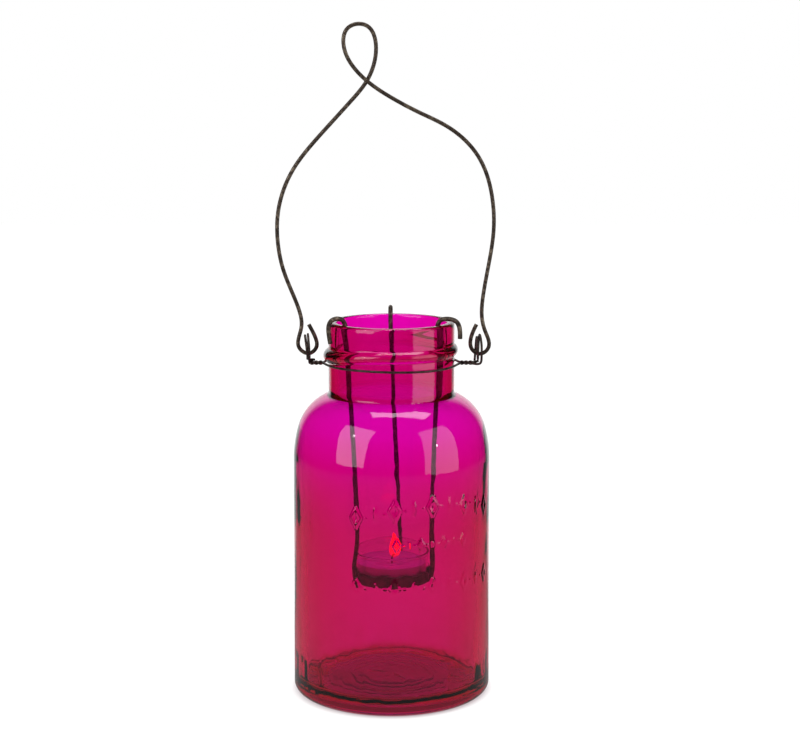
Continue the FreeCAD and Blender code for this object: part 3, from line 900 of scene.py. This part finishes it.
# Polycarbonate, injection moulded and polished: clear with the faintest grey, a glossy
# skin and slow flow marks that make the lip glint.
clear_plastic = bpy.data.materials.new("polycarbonate, clear moulded")
clear_plastic.use_nodes = True
tree = clear_plastic.node_tree
shader = tree.nodes["Principled BSDF"]
shader.inputs["Roughness"].default_value = 0.03
shader.inputs["IOR"].default_value = 1.58
shader.inputs["Transmission Weight"].default_value = 1.0
where = add_node(tree, "ShaderNodeTexCoord")
flow = add_node(
    tree,
    "ShaderNodeTexNoise",
    {"Scale": 1 / (9 * MM), "Detail": 1.0},
    {"Vector": where.outputs["Object"]},
)
flow_colour = add_node(tree, "ShaderNodeValToRGB", {}, {"Fac": flow.outputs["Fac"]})
flow_colour.color_ramp.elements[0].color = linear("#eceef0")
flow_colour.color_ramp.elements[1].color = linear("#fbfcfd")
tree.links.new(flow_colour.outputs["Color"], shader.inputs["Base Color"])
cup_bump = add_node(
    tree,
    "ShaderNodeBump",
    {"Strength": 0.15, "Distance": 0.2 * MM},
    {"Height": flow.outputs["Fac"]},
)
tree.links.new(cup_bump.outputs["Normal"], shader.inputs["Normal"])
cup.data.materials.append(clear_plastic)
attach(cup, "tealight")
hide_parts("tealight_cup")

# ---------------------------------------------------------------- wax
# White paraffin poured into the cup, with a shallow dip and a clear melted pool round
# the burning wick.

wax_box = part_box("tealight_wax")
wax_low, wax_high = wax_box[0][2] / MM, wax_box[1][2] / MM
wax_radius = wax_box[1][0] / MM - 0.35
POOL_RADIUS = 9.0
wax_outline = [(0, wax_low), (9, wax_low), (wax_radius - 1.6, wax_low)]
wax_outline += arc((wax_radius - 1.5, wax_low + 1.5), 1.5, -90, 0, 5)
wax_outline += run((wax_radius, wax_low + 1.5), (wax_radius, wax_high - 0.3), 1.5)
wax_outline += arc((wax_radius - 0.35, wax_high - 0.35), 0.35, 0, 90, 3)
wax_outline += [(15.5, wax_high - 0.15), (13, wax_high - 0.25), (11, wax_high - 0.3)]
wax_outline += [(POOL_RADIUS + 0.4, wax_high - 0.35), (POOL_RADIUS, wax_high - 0.6)]
wax_outline += [(POOL_RADIUS - 0.8, wax_high - 0.75), (5, wax_high - 0.8), (2, wax_high - 0.75)]
wax_outline += [(0.8, wax_high - 0.45), (0, wax_high - 0.4)]
wax = turn_outline("poured_wax", wax_outline, TEALIGHT_TURNS)

# Paraffin wax: white, soft and a little translucent, dull where it has set and glossy
# where it has melted.
wax_white = bpy.data.materials.new("paraffin wax, white, part melted")
wax_white.use_nodes = True
tree = wax_white.node_tree
shader = tree.nodes["Principled BSDF"]
shader.inputs["IOR"].default_value = 1.44
shader.inputs["Subsurface Weight"].default_value = 0.25
shader.inputs["Subsurface Radius"].default_value = (2.5 * MM, 2.0 * MM, 1.6 * MM)
shader.inputs["Subsurface Scale"].default_value = 1.0
where = add_node(tree, "ShaderNodeTexCoord")
parts = add_node(tree, "ShaderNodeSeparateXYZ", {}, {"Vector": where.outputs["Object"]})
across = add_node(
    tree, "ShaderNodeCombineXYZ", {}, {"X": parts.outputs["X"], "Y": parts.outputs["Y"]}
)
from_wick = add_node(
    tree, "ShaderNodeVectorMath", {"operation": "LENGTH"}, {0: across.outputs["Vector"]}
)
pool = add_node(
    tree,
    "ShaderNodeMapRange",
    {
        "From Min": (POOL_RADIUS - 1) * MM,
        "From Max": (POOL_RADIUS + 1) * MM,
        "To Min": 0.08,
        "To Max": 0.55,
    },
    {"Value": from_wick.outputs["Value"]},
)
tree.links.new(pool.outputs["Result"], shader.inputs["Roughness"])
cloud = add_node(
    tree,
    "ShaderNodeTexNoise",
    {"Scale": 1 / (5 * MM), "Detail": 3.0},
    {"Vector": where.outputs["Object"]},
)
wax_colour = add_node(tree, "ShaderNodeValToRGB", {}, {"Fac": cloud.outputs["Fac"]})
wax_colour.color_ramp.elements[0].color = linear("#e9e2d6")
wax_colour.color_ramp.elements[1].color = linear("#f7f3ea")
tree.links.new(wax_colour.outputs["Color"], shader.inputs["Base Color"])
wax_bump = add_node(
    tree,
    "ShaderNodeBump",
    {"Strength": 0.25, "Distance": 0.15 * MM},
    {"Height": cloud.outputs["Fac"]},
)
tree.links.new(wax_bump.outputs["Normal"], shader.inputs["Normal"])
wax.data.materials.append(wax_white)
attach(wax, "tealight")
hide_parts("tealight_wax")

# ---------------------------------------------------------------- wick sustainer
# A stamped disc with a short sleeve, of bright tinplate, sunk in the wax. Its CAD solid
# is already its shape and only takes the metal.

tinplate = bpy.data.materials.new("tinplate, stamped and bright")
tinplate.use_nodes = True
tree = tinplate.node_tree
shader = tree.nodes["Principled BSDF"]
shader.inputs["Metallic"].default_value = 1.0
where = add_node(tree, "ShaderNodeTexCoord")
smears = add_node(
    tree,
    "ShaderNodeTexNoise",
    {"Scale": 1 / (3 * MM), "Detail": 3.0},
    {"Vector": where.outputs["Object"]},
)
smear_colour = add_node(tree, "ShaderNodeValToRGB", {}, {"Fac": smears.outputs["Fac"]})
smear_colour.color_ramp.elements[0].color = linear("#b9b9b6")
smear_colour.color_ramp.elements[1].color = linear("#dcdcda")
tree.links.new(smear_colour.outputs["Color"], shader.inputs["Base Color"])
smear_gloss = add_node(
    tree, "ShaderNodeMapRange", {"To Min": 0.22, "To Max": 0.42}, {"Value": smears.outputs["Fac"]}
)
tree.links.new(smear_gloss.outputs["Result"], shader.inputs["Roughness"])
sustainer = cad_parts["wick_sustainer"]
sustainer.data.materials.clear()
sustainer.data.materials.append(tinplate)

# ---------------------------------------------------------------- wick
# A braided cotton wick, charred above the wax, where it bends over into the flame.

WICK_ACROSS = 1.1
wick_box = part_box("wick")
wick_low, wick_high = wick_box[0][2] / MM, wick_box[1][2] / MM
wick_bends = [(0, 0, wick_low), (0, 0, wick_low + 2.5), (0, 0, wax_high - 1)]
wick_bends += [(0.1, 0, wax_high + 0.8), (0.4, 0, wick_high - 1.4)]
wick_bends += [(1.0, -0.1, wick_high - 0.6), (1.7, -0.2, wick_high - 0.4)]
wick = bent_wire("braided_wick", wick_bends, WICK_ACROSS)
for vertex in wick.data.vertices:
    place = vertex.co
    braid = math.sin(place.z / MM * 5.5 + 3 * math.atan2(place.y, place.x))
    place.x += 0.05 * MM * braid

# Cotton braid, waxed and burnt: cream where it is still in the wax, soot black at the
# tip.
cotton = bpy.data.materials.new("cotton braid, waxed and charred")
cotton.use_nodes = True
tree = cotton.node_tree
shader = tree.nodes["Principled BSDF"]
shader.inputs["Roughness"].default_value = 0.85
shader.inputs["Sheen Weight"].default_value = 0.2
where = add_node(tree, "ShaderNodeTexCoord")
parts = add_node(tree, "ShaderNodeSeparateXYZ", {}, {"Vector": where.outputs["Object"]})
charring = add_node(
    tree,
    "ShaderNodeMapRange",
    {"From Min": (wax_high - 0.6) * MM, "From Max": (wax_high + 1.0) * MM},
    {"Value": parts.outputs["Z"]},
)
cotton_colour = add_node(tree, "ShaderNodeValToRGB", {}, {"Fac": charring.outputs["Result"]})
cotton_colour.color_ramp.elements[0].color = linear("#d8cfbc")
cotton_colour.color_ramp.elements[1].color = linear("#191513")
tree.links.new(cotton_colour.outputs["Color"], shader.inputs["Base Color"])
plies = add_node(
    tree,
    "ShaderNodeTexWave",
    {"bands_direction": "DIAGONAL", "Scale": 1 / (3 * MM), "Distortion": 1.0},
    {"Vector": where.outputs["Object"]},
)
cotton_bump = add_node(
    tree,
    "ShaderNodeBump",
    {"Strength": 0.5, "Distance": 0.1 * MM},
    {"Height": plies.outputs["Fac"]},
)
tree.links.new(cotton_bump.outputs["Normal"], shader.inputs["Normal"])
wick.data.materials.append(cotton)
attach(wick, "tealight")
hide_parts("wick")

# ---------------------------------------------------------------- flame
# A small steady candle flame. It has no solid: its outline is a drop round the wick's
# tip, darker inside near the wick, which shows through it.

FLAME_LOW = wax_high + 1.3
FLAME_HEIGHT = 11.0
FLAME_TURNS = 32
FLAME_CENTRE = (1.4, -0.2)
flame_outline = [(0, 0), (0.9, 0.15), (1.9, 0.8), (2.6, 1.9), (2.95, 3.2), (2.85, 4.6)]
flame_outline += [(2.4, 6.1), (1.75, 7.6), (1.05, 9.1), (0.45, 10.4), (0, FLAME_HEIGHT)]
flame = turn_outline("candle_flame", [(r, z + FLAME_LOW) for r, z in flame_outline], FLAME_TURNS)
for vertex in flame.data.vertices:
    place = vertex.co
    up = (place.z / MM - FLAME_LOW) / FLAME_HEIGHT
    place.x += (FLAME_CENTRE[0] + 0.7 * math.sin(up * 2.6) - 0.9 * up) * MM
    place.y += FLAME_CENTRE[1] * MM

# Glowing soot: deep orange at the foot and yellow-orange above, and half clear, so that
# the wick shows as a dark arch in it.
soot_glow = bpy.data.materials.new("candle flame, glowing soot")
soot_glow.use_nodes = True
tree = soot_glow.node_tree
shader = tree.nodes["Principled BSDF"]
shader.inputs["Base Color"].default_value = linear("#1a0a04")
shader.inputs["Roughness"].default_value = 1.0
shader.inputs["Specular IOR Level"].default_value = 0.0
shader.inputs["Emission Strength"].default_value = 4.0
where = add_node(tree, "ShaderNodeTexCoord")
parts = add_node(tree, "ShaderNodeSeparateXYZ", {}, {"Vector": where.outputs["Object"]})
rise_up = add_node(
    tree,
    "ShaderNodeMapRange",
    {"From Min": FLAME_LOW * MM, "From Max": (FLAME_LOW + FLAME_HEIGHT) * MM},
    {"Value": parts.outputs["Z"]},
)
glow = add_node(tree, "ShaderNodeValToRGB", {}, {"Fac": rise_up.outputs["Result"]})
glow.color_ramp.elements[0].color = (0.35, 0.06, 0.004, 1)
glow.color_ramp.elements[1].color = (1.0, 0.42, 0.01, 1)
heart = glow.color_ramp.elements.new(0.4)
heart.color = (1.0, 0.60, 0.012, 1)
tree.links.new(glow.outputs["Color"], shader.inputs["Emission Color"])
thin = add_node(tree, "ShaderNodeValToRGB", {}, {"Fac": rise_up.outputs["Result"]})
thin.color_ramp.elements[0].color = (0.25, 0.25, 0.25, 1)
thin.color_ramp.elements[1].color = (0.75, 0.75, 0.75, 1)
tree.links.new(thin.outputs["Color"], shader.inputs["Alpha"])
flame.data.materials.append(soot_glow)
flame.visible_diffuse = False
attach(flame, "tealight")
